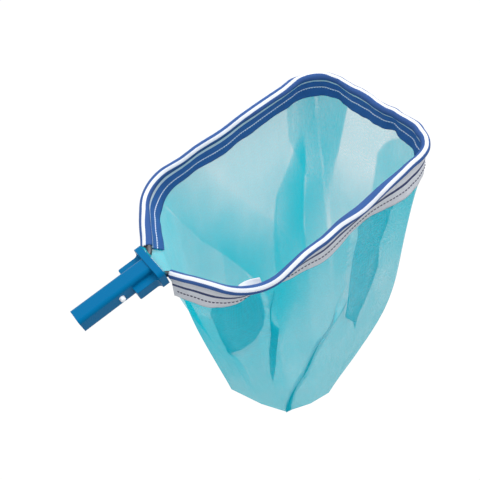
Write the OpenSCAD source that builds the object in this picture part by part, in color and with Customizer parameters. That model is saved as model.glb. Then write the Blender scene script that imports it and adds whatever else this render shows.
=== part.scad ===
// Leaf skimmer net: a moulded yoke that plugs into a telescopic pole, a bent
// tube hoop, a striped webbing band sewn round the hoop, and a deep mesh bag.
// Millimetres. X runs along the pole towards the front of the net, Y to its
// left, Z up out of the mouth. The origin lies on the pole axis, in the plane
// where the end of the pole stops against the yoke.

/* [Spigot and yoke] */
// Width across the flats of the spigot that enters the pole
spigot_w = 22; // [20:0.5:24]
// Length of the spigot that enters the pole
spigot_len = 68; // [55:1:90]
// Corner radius of the spigot
spigot_corner = 4.5; // [3:0.5:6]
// Wall thickness of the spigot
spigot_wall = 2.5; // [2:0.25:3]
// Length of the side lugs that hold the legs of the hoop
lug_len = 28; // [24:1:40]
// Width of the yoke across both lugs
lug_span = 43; // [42:0.5:46]
// Height of the lugs
lug_h = 13; // [12:0.5:16]
// Width of the front bar of the yoke
bar_w = 54; // [52:1:64]
// Height of the front bar
bar_h = 25; // [22:1:30]
// Thickness of the front bar
bar_t = 8.5; // [8:0.5:12]
// Radius of the outside corners of the front bar
bar_corner = 5; // [2:0.5:7]
// Radius of the hollow between the lugs and the front bar
flare_r = 5; // [2:0.5:5]

/* [Hoop] */
// Diameter of the hoop tube
hoop_d = 7; // [6:0.25:7.5]
// Wall thickness of the hoop tube
hoop_wall = 1.2; // [0.8:0.1:1.6]
// Distance between the two legs of the hoop in the yoke
leg_span = 32; // [31:0.5:33]
// Thickness of the lug behind the end of each leg
leg_back = 4.5; // [3:0.5:8]
// How far the plane of the hoop lies under the pole axis
hoop_drop = 3; // [2:0.5:4]
// Reach of the hoop from the front of the yoke to its front edge
reach = 347; // [300:1:420]
// Distance from the front of the yoke to the corner of the shoulders
shoulder_x = 55; // [50:1:70]
// Width of the hoop at the shoulders
shoulder_w = 230; // [210:1:270]
// Width of the hoop at its front edge
front_w = 210; // [190:1:270]
// Bend radius of the hoop at the yoke
elbow_r = 14; // [13:1:16]
// Bend radius of the shoulders
shoulder_r = 63; // [40:1:66]
// Bend radius of the front corners
front_r = 41; // [25:1:50]

/* [Band] */
// Depth of the webbing band below the hoop
band_w = 42; // [34:1:50]
// Thickness of the webbing
band_t = 1.2; // [0.8:0.1:1.6]
// Length of bare hoop between each elbow and the band
band_start = 4; // [4:1:12]

/* [Bag] */
// Depth of the bag below the hoop
bag_depth = 394; // [300:2:480]
// Thickness of the mesh cloth
bag_t = 0.8; // [0.6:0.1:1]
// How far the tail of the bag hangs back towards the pole
tail_back = 125; // [90:1:140]
// How far the tail of the bag hangs to the right
tail_side = 88; // [60:2:100]
// Height of the long folds in the cloth
fold_depth = 4; // [0:0.5:8]
// Length of the blank label
label_l = 32; // [20:1:40]
// Width of the blank label
label_w = 10; // [8:1:20]
// Thickness of the blank label
label_t = 0.6; // [0.4:0.1:1]

/* [Snap buttons] */
// Diameter of the snap buttons
button_d = 6.4; // [5.5:0.1:6.8]
// Height of the snap buttons above the flat of the spigot
button_rise = 5; // [4:0.25:6]
// Distance of the snap buttons from the stop of the pole
button_x = 15.5; // [12:0.5:24]
// Diameter of the collar that keeps a button inside
collar_d = 9; // [8:0.25:10]
// Thickness of that collar
collar_t = 1.3; // [1:0.1:1.5]
// Thickness of the leaf spring
leaf_t = 0.8; // [0.6:0.1:1]
// Width of the leaf spring
leaf_w = 8; // [6:0.5:9]

/* [Screws] */
// Diameter of the screw shanks
screw_d = 2.6; // [2.2:0.1:3]
// Diameter of the screw heads
screw_head_d = 5.6; // [5:0.1:6]
// Height of the screw heads
screw_head_h = 1.8; // [1.4:0.1:2.2]
// Distance of the screws in front of the stop of the pole
screw_x = 12; // [9:0.5:15]

/* [Hidden] */
$fn = 48;
eps = 0.01;

// Clearances
tube_gap = 0.15;   // hoop leg in its lug, on the radius
collar_gap = 0.2;  // collar of a button behind its wall
leaf_gap = 0.1;    // leaf spring under that collar
cloth_gap = 0.35;  // cloth or webbing beside anything
pin_gap = 0.15;    // button in its hole, on the radius
screw_gap = 0.1;   // screw in its hole, on the radius

// Yoke
half_w = spigot_w / 2;
bore_w = spigot_w - 2 * spigot_wall;
bore_corner = spigot_corner - spigot_wall + 1;  // the hollow's corners are a little rounder
mouth_x = lug_len + bar_t;
hoop_z = -hoop_drop;
edge_r = 2;        // rounding of the back corners of the lugs

// Hoop
hoop_r = hoop_d / 2;
leg_y = leg_span / 2;
arm_x = 2.5;       // the elbow's corner, in front of the yoke
hoop_pts = [[leg_back, leg_y], [mouth_x + arm_x, leg_y],
            [mouth_x + shoulder_x, shoulder_w / 2], [mouth_x + reach, front_w / 2],
            [mouth_x + reach, -front_w / 2], [mouth_x + shoulder_x, -shoulder_w / 2],
            [mouth_x + arm_x, -leg_y], [leg_back, -leg_y]];
hoop_radii = [0, elbow_r, shoulder_r, front_r, front_r, shoulder_r, elbow_r, 0];
n_pts = len(hoop_pts);
tube_sides = 16;
bend_steps = [0, 6, 7, 8, 8, 7, 6];  // facets along each bend

// Band: stations along each straight of the hoop, and the folded section
straight_steps = [0, 3, 7, 4, 7, 3];
fold_from = -39;            // degrees, 0 points out of the mouth
fold_to = 219;
fold_step = 43;
fold_arc = [fold_from : fold_step : fold_to];
slot_half = bag_t / 2 + cloth_gap;
leaf_half = slot_half + band_t;
loop_in = (hoop_r + cloth_gap) / cos(fold_step / 2);
loop_out = loop_in + band_t;
pinch = 4;                  // drop over which the two leaves come together
neck = loop_out + pinch;

// How the band flares out of the mouth, and trails along the hoop, per unit of
// drop: share of the way round from the left arm to the right arm, and value
band_flare = [[0, -0.2], [0.08, -0.1], [0.16, 0.25], [0.24, 0.2], [0.34, 0.3], [0.42, 0.2],
              [0.48, 0.05], [0.54, 0.25], [0.6, -0.1], [0.66, 0.15], [0.72, -0.25],
              [0.78, -0.05], [0.83, -0.3], [0.88, -0.75], [0.94, 0.15], [1, 0.1]];
band_trail = [[0, 0.6], [0.08, 0.15], [0.16, -0.3], [0.34, -0.3], [0.54, -0.2], [0.66, 0.05],
              [0.83, 0.25], [0.94, 0.4], [1, 0.35]];

// Bag: share of the way round its edge and how far the wall bulges there, and
// the closing seam at its foot, from its back corner to its front corner, set
// off from its lowest point
throat_steps = 5;           // cloth across the front of the yoke
levels = [0.1, 0.22, 0.35, 0.48, 0.61, 0.73, 0.84, 0.93, 1];
bag_bulge = [[0, 2], [0.1, 12], [0.25, 22], [0.42, 22], [0.55, 24], [0.68, 20], [0.8, 10],
             [0.9, -6], [1, 2]];
bulge_low = 1.45;           // higher moves the bulge down
foot = [[-45, 79, 25], [-22, 34, 6], [0, 0, 0], [38, -17, 1], [70, -25, 6], [102, -21, 21]];
foot_at = 0.03;             // share of the way round the edge above the back corner
foot_half = 6;              // half the width of the foot beside its seam
fold_count = 7;
fold_twist = 120;           // degrees that the folds wander on the way down

// Label
label_at = 0.9015;          // share of the way round the band
label_drop = 1;             // sewn this far under the place where the leaves meet
label_lift = [130, 70];     // degrees off the band at its front and back end
label_steps = 5;

// Buttons and spring
button_r = button_d / 2;
stem_r = button_r + 0.3;    // the stem in the wall is thicker than the free end, with a step between
stem_out = half_w + 0.4;
button_top = half_w + button_rise;
dome_h = button_r / 2;
dome_r = (button_r * button_r + dome_h * dome_h) / (2 * dome_h);
collar_out = bore_w / 2 - collar_gap;
leaf_out = collar_out - collar_t - leaf_gap;
leaf_bend_r = 4;
leaf_bend_x = 9;            // centre of the bend, in front of the stop of the pole
leaf_tail = 9;              // leaf behind the button
leaf_facet = 15;            // degrees

// ---------------------------------------------------------------- geometry
function unit(v) = v / norm(v);
function heading(a, b) = atan2(b[1] - a[1], b[0] - a[0]);
function wrap(a) = a > 180 ? a - 360 : a < -180 ? a + 360 : a;
function turn(i) = wrap(heading(hoop_pts[i], hoop_pts[i + 1])
                        - heading(hoop_pts[i - 1], hoop_pts[i]));
function cut(i) = hoop_radii[i] * tan(abs(turn(i)) / 2);
function bend_in(i) = hoop_pts[i] - cut(i) * unit(hoop_pts[i] - hoop_pts[i - 1]);
function bend_out(i) = hoop_pts[i] + cut(i) * unit(hoop_pts[i + 1] - hoop_pts[i]);
function side(h) = [sin(h), -cos(h)];
function bend_centre(i) = bend_in(i)
    - sign(turn(i)) * hoop_radii[i] * side(heading(hoop_pts[i - 1], hoop_pts[i]));
function run_start(i) = i == 0 ? hoop_pts[0] : bend_out(i);
function run_end(i) = i == n_pts - 2 ? hoop_pts[n_pts - 1] : bend_in(i + 1);

// Stations [x, y, heading] of the band along the hoop
function run_stations(i) =
    let (h = heading(hoop_pts[i], hoop_pts[i + 1]),
         lead = band_start * [cos(h), sin(h)],
         a = run_start(i) + (i == 1 ? lead : [0, 0]),
         b = run_end(i) - (i == n_pts - 3 ? lead : [0, 0]),
         first = i == 1 ? 0 : 1,
         last = straight_steps[i] - (i == n_pts - 3 ? 0 : 1))
    [for (k = [first : last]) let (p = a + (b - a) * k / straight_steps[i]) [p[0], p[1], h]];
function bend_stations(i) =
    let (h0 = heading(hoop_pts[i - 1], hoop_pts[i]), c = bend_centre(i), s = sign(turn(i)))
    [for (k = [0 : bend_steps[i]])
        let (h = h0 + turn(i) * k / bend_steps[i], p = c + s * hoop_radii[i] * side(h))
        [p[0], p[1], h]];
stations = [for (i = [1 : n_pts - 3])
    each concat(i == 1 ? [] : bend_stations(i), run_stations(i))];
n_st = len(stations);
function flat(p) = [p[0], p[1]];
function step_to(k) = k == 0 || k == n_st ? 0 : norm(flat(stations[k]) - flat(stations[k - 1]));
way = [for (k = 0, s = 0; k < n_st; k = k + 1, s = s + step_to(k)) s];
band_len = way[n_st - 1];
function share(k) = way[k] / band_len;
place_of = [for (k = [0 : n_st - 1]) [share(k), k]];

// The band's own axes at a station: along the hoop, out of its outer face, and
// down the band. Below the loop the band also trails along the hoop.
function onward(k) = [cos(stations[k][2]), sin(stations[k][2]), 0];
function outward(k) = [-sin(stations[k][2]), cos(stations[k][2]), 0];
function flare(k) = lookup(share(k), band_flare);
function out_dir(k) = unit(outward(k) + [0, 0, flare(k)]);
function drop_dir(k) = unit(flare(k) * outward(k) - [0, 0, 1]);
function on_band(k, out, drop) =
    [stations[k][0], stations[k][1], hoop_z] + out * out_dir(k) + drop * drop_dir(k)
    + max(0, drop - loop_out) * lookup(share(k), band_trail) * onward(k);
// The same at a share of the way round
function between(f, k) = f(floor(k)) * (1 - k + floor(k)) + f(ceil(k)) * (k - floor(k));

// Skin of a stack of rings. A thin wall keeps its thickness where it twists if
// its two sides are cut along the same diagonal: turned[i] swaps it after point i
function ring_faces(rows, turned) = let (n = len(turned))
    [for (j = [0 : rows - 2], i = [0 : n - 1])
        let (a = j * n + i, b = j * n + (i + 1) % n, c = a + n, d = b + n)
        each turned[i] ? [[a, c, d], [a, d, b]] : [[a, c, b], [b, c, d]]];
function flip(faces) = [for (f = faces) [f[2], f[1], f[0]]];
function shift(faces, by) = [for (f = faces) [f[0] + by, f[1] + by, f[2] + by]];

// A strip swept through rings that each run out along one side of it and back
// along the other
function back_half(n) = [for (i = [0 : n - 1]) i >= n / 2];
module swept(rings, turned) {
    n = len(rings[0]);
    cap = [for (i = [0 : n / 2 - 2]) let (back = n - 1 - i)
        each [[i, i + 1, back - 1], [i, back - 1, back]]];
    polyhedron(points = [for (r = rings) each r], faces = concat(
        ring_faces(len(rings), turned), cap, flip(shift(cap, (len(rings) - 1) * n))));
}

// ---------------------------------------------------------------- modules
module rounded_square(w, h, r) {
    square([w - 2 * r, h], center = true);
    square([w, h - 2 * r], center = true);
    for (x = [-1, 1], y = [-1, 1])
        translate([x * (w / 2 - r), y * (h / 2 - r)]) circle(r);
}

// A bar along +X from x0 to x1 with a rounded section
module bar_x(x0, x1, w, h, r) {
    translate([x0, 0, 0]) rotate([90, 0, 90])
        linear_extrude(x1 - x0) rounded_square(w, h, r);
}

// Seat of a leg and its elbow in the yoke, left side
module leg_seat(r) {
    centre = bend_centre(1);
    translate([leg_back, leg_y, hoop_z]) rotate([0, 90, 0])
        cylinder(r = r, h = bend_in(1)[0] - leg_back);
    translate([centre[0], centre[1], hoop_z]) rotate([0, 0, -90])
        rotate_extrude(angle = turn(1)) translate([elbow_r, 0]) circle(r);
}

module each_side() {
    children();
    mirror([0, 1, 0]) children();
}

// Lug with its concave flare into the front bar, left side
module lug() {
    lug_y = lug_span / 2;
    flare_x = mouth_x - bar_t - flare_r;
    translate([0, 0, hoop_z]) {
        bar_half = (bar_w - lug_span) / 2;
        translate([0, 0, -lug_h / 2]) linear_extrude(lug_h) difference() {
            union() {
                translate([0, half_w - spigot_wall])
                    square([mouth_x - bar_t / 2, lug_y - half_w + spigot_wall]);
                translate([flare_x, lug_y - eps]) square([flare_r + bar_t / 2, min(bar_half, flare_r)]);
            }
            translate([flare_x, lug_y + flare_r]) circle(flare_r);
            difference() {
                translate([-eps, lug_y - edge_r]) square([edge_r + eps, edge_r + eps]);
                translate([edge_r, lug_y - edge_r]) circle(edge_r);
            }
        }
    }
}

module yoke() {
    color([0.03, 0.46, 0.72]) difference() {
        union() {
            bar_x(-spigot_len, mouth_x - bar_t / 2, spigot_w, spigot_w, spigot_corner);
            each_side() lug();
            bar_x(mouth_x - bar_t, mouth_x, bar_w, bar_h, bar_corner);
        }
        // hollow of the spigot, closed by the front bar
        bar_x(-spigot_len - eps, lug_len, bore_w, bore_w, bore_corner);
        each_side() leg_seat(hoop_r + tube_gap);
        // holes of the snap buttons
        translate([-button_x, 0, 0]) rotate([90, 0, 0])
            cylinder(r = stem_r + pin_gap, h = spigot_w + 2, center = true);
        screw_holes();
    }
}

// Holes for the screws, from the underside of each lug into the tube
module screw_holes() {
    each_side() translate([screw_x, leg_y, hoop_z - lug_h / 2 - eps])
        cylinder(r = screw_d / 2 + screw_gap, h = lug_h / 2);
}

// Bent tube, open at the ends of its legs
module rim_hoop() {
    path = concat([[leg_back, leg_y, 0]], [for (i = [1 : n_pts - 2]) each bend_stations(i)],
                  [[leg_back, -leg_y, 180]]);
    n = tube_sides;
    count = len(path) * n;
    function wall(r) = [for (p = path, k = [0 : n - 1]) let (a = 360 * k / n)
        [p[0], p[1], hoop_z] + r * cos(a) * [-sin(p[2]), cos(p[2]), 0] + [0, 0, r * sin(a)]];
    skin = ring_faces(len(path), [for (k = [0 : n - 1]) false]);
    lip = [for (k = [0 : n - 1]) let (b = (k + 1) % n)
        each [[k, b, k + count], [b, b + count, k + count]]];
    color([0.72, 0.74, 0.76]) difference() {
        polyhedron(points = concat(wall(hoop_r), wall(hoop_r - hoop_wall)), faces = concat(
            skin, flip(shift(skin, count)), lip, flip(shift(lip, count - n))));
        screw_holes();
    }
}

module hoop_screws() {
    color([0.7, 0.7, 0.72]) each_side() translate([screw_x, leg_y, hoop_z - lug_h / 2]) {
        cylinder(r = screw_d / 2, h = lug_h / 2 - screw_gap);
        // pan head
        intersection() {
            translate([0, 0, -screw_head_h]) cylinder(r = screw_head_d / 2, h = screw_head_h);
            translate([0, 0, screw_head_d - screw_head_h]) sphere(r = screw_head_d);
        }
    }
}

// V-shaped leaf: a bend at the front and an arm along each side wall
module snap_spring() {
    back = -button_x - leaf_tail;
    front = -button_x + collar_d / 2;
    function bend(r, a) = [leaf_bend_x + r * cos(a), r * sin(a)];
    outer = concat([[back, -leaf_out], [front, -leaf_out]],
                   [for (a = [-90 : leaf_facet : 90]) bend(leaf_bend_r, a)],
                   [[front, leaf_out], [back, leaf_out]]);
    in_y = leaf_out - leaf_t;
    inner = concat([[back, in_y], [front, in_y]],
                   [for (a = [90 : -leaf_facet : -90]) bend(leaf_bend_r - leaf_t, a)],
                   [[front, -in_y], [back, -in_y]]);
    color([0.75, 0.76, 0.78]) translate([0, 0, -leaf_w / 2])
        linear_extrude(leaf_w) polygon(concat(outer, inner));
}

// Snap button on the left side: collar inside, stem through the wall, dome
module snap_button() {
    color([0.93, 0.94, 0.95]) translate([-button_x, 0, 0]) rotate([-90, 0, 0]) {
        translate([0, 0, collar_out - collar_t]) cylinder(r = collar_d / 2, h = collar_t);
        translate([0, 0, collar_out - eps]) cylinder(r = stem_r, h = stem_out - collar_out + eps);
        translate([0, 0, stem_out - eps])
            cylinder(r = button_r, h = button_top - dome_h - stem_out + eps);
        intersection() {
            translate([0, 0, button_top - dome_h - eps]) cylinder(r = button_r, h = dome_h + eps);
            translate([0, 0, button_top - dome_r]) sphere(r = dome_r);
        }
    }
}

module snap_button_left() {
    snap_button();
}

module snap_button_right() {
    mirror([0, 1, 0]) snap_button();
}

// Webbing folded over the hoop: a loop round the tube and two leaves below it
module rim_band() {
    outer = concat([[leaf_half, band_w], [leaf_half, neck]],
                   [for (a = fold_arc) loop_out * [cos(a), -sin(a)]],
                   [[-leaf_half, neck], [-leaf_half, band_w]]);
    inner = concat([[slot_half, band_w], [slot_half, neck]],
                   [for (a = fold_arc) loop_in * [cos(a), -sin(a)]],
                   [[-slot_half, neck], [-slot_half, band_w]]);
    last = len(inner) - 1;
    section = concat(outer, [for (k = [last : -1 : 0]) inner[k]]);
    rising = [for (i = [0 : len(section) - 1]) section[i][1] <= section[(i + 1) % len(section)][1]];
    color([0.18, 0.25, 0.55])
        swept([for (k = [0 : n_st - 1]) [for (p = section) on_band(k, p[0], p[1])]], rising);
}

// Bag: every ring runs once round the band and back across the throat
n_ring = n_st + throat_steps - 1;
function edge_point(k, drop) = k < n_st ? on_band(k, 0, drop)
    : let (a = on_band(n_st - 1, 0, drop), b = on_band(0, 0, drop))
      a + (b - a) * (k - n_st + 1) / throat_steps;
hem = [for (k = [0 : n_ring - 1]) edge_point(k, band_w)];
function high(i) = max([for (p = hem) p[i]]);
function low(i) = min([for (p = hem) p[i]]);
bag_mid = [high(0) + low(0), high(1) + low(1)] / 2;
tail = [bag_mid[0] - tail_back, -tail_side, hoop_z - bag_depth];
throat = norm(hem[0] - hem[n_st - 1]);
function round_share(k) = (k < n_st ? way[k] : band_len + throat * (k - n_st + 1) / throat_steps)
                          / (band_len + throat);

// The foot's seam, and how far along it the cloth of place k comes down
foot_way = [for (i = 0, s = 0; i < len(foot); i = i + 1,
                 s = s + (i < len(foot) ? norm(foot[i] - foot[i - 1]) : 0)) s];
foot_line = [for (a = [0 : 2]) [for (i = [0 : len(foot) - 1]) [foot_way[i], foot[i][a]]]];
function along(k) = 0.5 - 0.5 * cos(360 * (round_share(k) - foot_at));
function foot_point(k) =
    let (w = along(k) * foot_way[len(foot) - 1], turned = sin(360 * (round_share(k) - foot_at)),
         far = sign(turned) * sqrt(abs(turned)),
         across = unit([foot[len(foot) - 1][1] - foot[0][1], foot[0][0] - foot[len(foot) - 1][0], 0]))
    tail + [for (a = [0 : 2]) lookup(w, foot_line[a])] - across * foot_half * far;

// Place k of the ring at depth v, from 0 at the hem to 1 at the foot
function wave(k, v) = sin(360 * (fold_count * round_share(k)) + fold_twist * v) * sin(180 * v);
function bag_point(k, v) =
    let (p = hem[k] * (1 - v) + foot_point(k) * v,
         middle = bag_mid * (1 - v) + [tail[0] + foot[3][0], tail[1]] * v,
         out = unit([p[0] - middle[0], p[1] - middle[1], 0]),
         bulge = lookup(round_share(k), bag_bulge) * sin(180 * pow(v, bulge_low)))
    p + out * (bulge + fold_depth * wave(k, v));
cloth = concat([[for (k = [0 : n_ring - 1]) edge_point(k, neck)]], [hem],
               [for (v = levels) [for (k = [0 : n_ring - 1]) bag_point(k, v)]]);
n_rows = len(cloth);

// Outward normal of the cloth at row j, place k
function next(k, by) = (k + n_ring + by) % n_ring;
function normal(j, k) = j < 2 && k < n_st ? out_dir(k)
    : let (up = cloth[max(j - 1, 0)][k], down = cloth[min(j + 1, n_rows - 1)][k])
      unit(cross(cloth[j][next(k, 1)] - cloth[j][next(k, -1)], down - up));
function skin_point(j, k, out) = cloth[j][k] + out * normal(j, k);

// The foot is closed by a ladder between the two chains of places that run from
// its back corner to its front corner; every step takes the place that comes next
places = [for (k = [0 : n_ring - 1]) along(k)];
back_corner = search(min(places), places)[0];
front_corner = search(max(places), places)[0];
left_chain = [for (i = [0 : next(front_corner, -back_corner)]) next(back_corner, i)];
right_chain = [for (i = [0 : n_ring - next(front_corner, -back_corner)]) next(back_corner, -i)];
function passed(chain, u, level) =
    max(0, len([for (k = chain) if (places[k] < u || (level && places[k] == u)) k]) - 1);
ladder = concat(
    [for (i = [1 : len(left_chain) - 1])
        [left_chain[i - 1], left_chain[i],
         right_chain[passed(right_chain, places[left_chain[i]], false)]]],
    [for (i = [1 : len(right_chain) - 1])
        [right_chain[i], right_chain[i - 1],
         left_chain[passed(left_chain, places[right_chain[i]], true)]]]);
sole = [for (f = ladder) if (f[0] != f[1] && f[1] != f[2] && f[2] != f[0]) f];

module net_bag() {
    skin = ring_faces(n_rows, [for (k = [0 : n_ring - 1]) true]);
    count = n_rows * n_ring;
    rim = [for (a = [0 : n_ring - 1]) let (b = next(a, 1))
        each [[a, b, a + count], [b, b + count, a + count]]];
    end = shift(sole, count - n_ring);
    points = [for (out = [-1, 1], j = [0 : n_rows - 1], k = [0 : n_ring - 1])
        let (lift = j == n_rows - 1 ? [0, 0, -out * bag_t / 2] : [0, 0, 0])
        skin_point(j, k, out * bag_t / 2) + lift];
    color([0.45, 0.8, 0.86, 0.6]) polyhedron(points = points, faces = concat(
        flip(skin), shift(skin, count), flip(rim), end, flip(shift(end, count))));
}

// Label sewn by its upper edge to the inner face of the band, curling away
module blank_label() {
    sewn = -leaf_half - cloth_gap - label_t / 2;
    function ring(t) =
        let (k = lookup(label_at + (t - 0.5) * label_l / band_len, place_of),
             lift = label_lift[0] * (1 - t) + label_lift[1] * t,
             p = between(function (i) on_band(i, sewn, neck + label_drop), k),
             down = between(function (i) drop_dir(i), k),
             in = between(function (i) -out_dir(i), k),
             across = unit(down * cos(lift) + in * sin(lift)),
             thick = unit(in * cos(lift) - down * sin(lift)) * label_t)
        [p + thick, p + thick + across * label_w, p + across * label_w, p];
    color([0.95, 0.96, 0.96]) swept([for (i = [0 : label_steps]) ring(i / label_steps)], back_half(4));
}

yoke();
rim_hoop();
hoop_screws();
snap_spring();
snap_button_right();
snap_button_left();
rim_band();
net_bag();
blank_label();
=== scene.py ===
# %% [markdown]
# # A leaf net for a swimming pool
# The net is a moulded blue yoke, a bent tube hoop, a striped webbing band sewn
# round the hoop, and a deep bag of fine mesh. The hard pieces come ready made
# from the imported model. The soft ones are plain solids there, so this script
# builds the real cloth over them: the band, the bag, the label and the seams.
# Lengths are millimetres, as on a cutting table, until a mesh is made. MM turns
# them into Blender's metres.

import bmesh
import bpy
import numpy as np
from mathutils import Matrix, Vector


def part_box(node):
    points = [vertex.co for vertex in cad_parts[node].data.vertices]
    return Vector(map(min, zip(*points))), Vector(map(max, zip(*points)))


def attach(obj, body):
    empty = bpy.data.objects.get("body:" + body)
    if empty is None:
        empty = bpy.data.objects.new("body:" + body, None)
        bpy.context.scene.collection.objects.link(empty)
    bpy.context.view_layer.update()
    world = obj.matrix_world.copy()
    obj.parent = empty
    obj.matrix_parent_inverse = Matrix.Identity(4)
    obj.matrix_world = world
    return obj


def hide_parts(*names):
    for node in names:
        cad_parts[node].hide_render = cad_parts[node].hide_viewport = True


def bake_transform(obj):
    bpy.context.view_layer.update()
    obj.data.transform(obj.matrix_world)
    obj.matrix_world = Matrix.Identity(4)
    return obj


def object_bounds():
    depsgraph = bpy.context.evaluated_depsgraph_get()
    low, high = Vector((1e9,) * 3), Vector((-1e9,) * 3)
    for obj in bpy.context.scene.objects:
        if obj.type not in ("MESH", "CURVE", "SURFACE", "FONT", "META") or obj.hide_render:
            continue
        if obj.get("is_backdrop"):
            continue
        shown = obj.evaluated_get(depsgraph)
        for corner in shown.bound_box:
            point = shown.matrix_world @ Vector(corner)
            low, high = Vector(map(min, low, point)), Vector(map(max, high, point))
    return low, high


MM = 0.001
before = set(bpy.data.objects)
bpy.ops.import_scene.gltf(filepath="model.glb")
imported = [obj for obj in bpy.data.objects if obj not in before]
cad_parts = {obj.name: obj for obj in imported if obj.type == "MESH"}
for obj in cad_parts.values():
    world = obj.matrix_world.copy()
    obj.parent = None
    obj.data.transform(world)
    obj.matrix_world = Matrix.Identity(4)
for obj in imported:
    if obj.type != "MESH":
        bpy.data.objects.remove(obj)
cad_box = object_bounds()
print("size in mm:", [round((high - low) / MM) for low, high in zip(*cad_box)])

# %% [markdown]
# ## Camera
# A camera is a place and three directions. Its matrix holds them as columns:
# right, up, backwards and the place. A constraint could aim it too, but only a
# matrix also holds a small roll of the head. A 45 mm lens on a 36 mm sensor is
# close to the eye of someone who looks down into the bag.


# %% Camera
def add(name, data):
    """A new object in the scene, at the origin and unturned."""
    thing = bpy.data.objects.new(name, data)
    bpy.context.scene.collection.objects.link(thing)
    return thing


eye = Vector((-0.0352, -0.4240, 0.5383))  # metres from the yoke
right = Vector((0.7702, -0.6071, -0.1954)).normalized()
back = Vector((-0.2384, -0.5583, 0.7946))
back = (back - back.dot(right) * right).normalized()
up = back.cross(right)
camera = add("camera", bpy.data.cameras.new("camera"))
camera.matrix_world = Matrix([(right[i], up[i], back[i], eye[i]) for i in range(3)] + [(0, 0, 0, 1)])
camera.data.lens = 45
camera.data.sensor_width = 36
bpy.context.scene.camera = camera
print("the eye is", round(eye.length / MM), "mm from the yoke")

# %% [markdown]
# ## Grids of cloth
# Every cloth here is a grid of points, row by row. It could be modelled by hand
# from a plane, but a grid that comes from lengths stays exact when a length
# changes. One helper turns such a grid into a mesh with a UV map in metres, so
# a weave or a stripe has the same size wherever the cloth goes.


# %% Grid to mesh
def grid_object(name, points, uv, closed=False):
    """A smooth mesh of quads through a grid of points. Closed joins its last column to its first."""
    rows, columns = points.shape[:2]
    steps = columns if closed else columns - 1
    faces, corners = [], []
    for j in range(rows - 1):
        for i in range(steps):
            here, below, k = j * columns, (j + 1) * columns, (i + 1) % columns
            faces.append((here + i, below + i, below + k, here + k))
            corners += [uv[j, i], uv[j + 1, i], uv[j + 1, i + 1], uv[j, i + 1]]
    mesh = bpy.data.meshes.new(name)
    mesh.from_pydata((points.reshape(-1, 3) * MM).tolist(), [], faces)
    mesh.uv_layers.new(name="cloth").data.foreach_set("uv", (np.array(corners) * MM).ravel())
    mesh.shade_smooth()
    print(name, len(faces), "faces")
    return add(name, mesh)


# %% [markdown]
# ## Tables of shape
# Sewn cloth has no formula. Its flare, its stripes' climb and its folds are
# short tables instead: a share of the way, and a value there. Straight lines
# between the rows would leave kinks, so a small moving average rounds them.


# %% Tables and distances
def table(rows, at, column=1, blur=0.04):
    """Values between the rows of a small table, with the kinks between them rounded off."""
    rows = np.array(rows, float)
    grid = np.linspace(-0.2, 1.2, 701)
    steps_per_share = 500
    window = np.hanning(int(blur * steps_per_share) + 3)
    smooth = np.convolve(np.interp(grid, rows[:, 0], rows[:, column]), window / window.sum(), "same")
    return np.interp(at, grid, smooth)


def way_along(points):
    """The distance from the first point of a line to each of its points."""
    return np.concatenate([[0], np.cumsum(np.linalg.norm(np.diff(points, axis=0), axis=1))])


print("a quarter of the way from 0 to 8:", round(table([(0, 0), (1, 8)], 0.25), 3))

# %% [markdown]
# ## The line of the hoop
# The hoop is a tube bent in one plane: straight runs between six bends. The
# cloth follows it, so its centre line is worked out here once, as points with
# a heading, from the same corners and bend radii as the solid. A Blender curve
# would draw it too, but the cloth needs the heading at every millimetre.

# %% The hoop's centre line
HOOP_Z = -3.0
HOOP_CORNERS = [(4.5, 16), (39, 16), (91.5, 115), (383.5, 105),
                (383.5, -105), (91.5, -115), (39, -16), (4.5, -16)]
BENDS = [14, 63, 41, 41, 63, 14]


def heading(start, end):
    """The angle of the way from one point to another, against the x axis."""
    return np.arctan2(end[1] - start[1], end[0] - start[0])


def hoop_line(step=0.5):
    """Points of the centre line: x, y and heading. Each corner is cut by a bend of its radius."""
    corners = np.array(HOOP_CORNERS, float)
    points, start = [], corners[0]
    for radius, a, b, c in zip(BENDS, corners, corners[1:], corners[2:]):
        h0, h1 = heading(a, b), heading(b, c)
        turn = (h1 - h0 + np.pi) % (2 * np.pi) - np.pi
        cut = radius * np.tan(abs(turn) / 2)
        bend_in = b - cut * np.array([np.cos(h0), np.sin(h0)])
        centre = bend_in - np.sign(turn) * radius * np.array([np.sin(h0), -np.cos(h0)])
        for t in np.arange(0, 1, step / np.linalg.norm(bend_in - start)):
            points.append([*(start + (bend_in - start) * t), h0])
        for t in np.arange(0, 1, step / abs(turn * radius)):
            h = h0 + turn * t
            points.append([*(centre + np.sign(turn) * radius * np.array([np.sin(h), -np.cos(h)])), h])
        start = b + cut * np.array([np.cos(h1), np.sin(h1)])
    for t in np.linspace(0, 1, 30):
        points.append([*(start + (corners[-1] - start) * t), h1])
    points = np.array(points)
    points[:, 2] = np.unwrap(points[:, 2])
    return points


line = hoop_line()
way = way_along(line[:, :2])
BAND_START = 45.2  # the band begins and ends this far along the tube from its ends
band_length = way[-1] - 2 * BAND_START
print("the tube is", round(way[-1]), "mm long and the band runs", round(band_length), "mm round it")

# %% [markdown]
# ## Where the band hangs
# The band doesn't hang straight down. It leans in or flares out as the bag
# pulls on it (FLARE), and its lower edge trails a little along the hoop
# (TRAIL). Both are given per millimetre of drop, at shares of the way round. A
# lattice could bend a straight band like that, but one function for every
# point lets the band, its stitches, the label and the bag share one shape.

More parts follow.
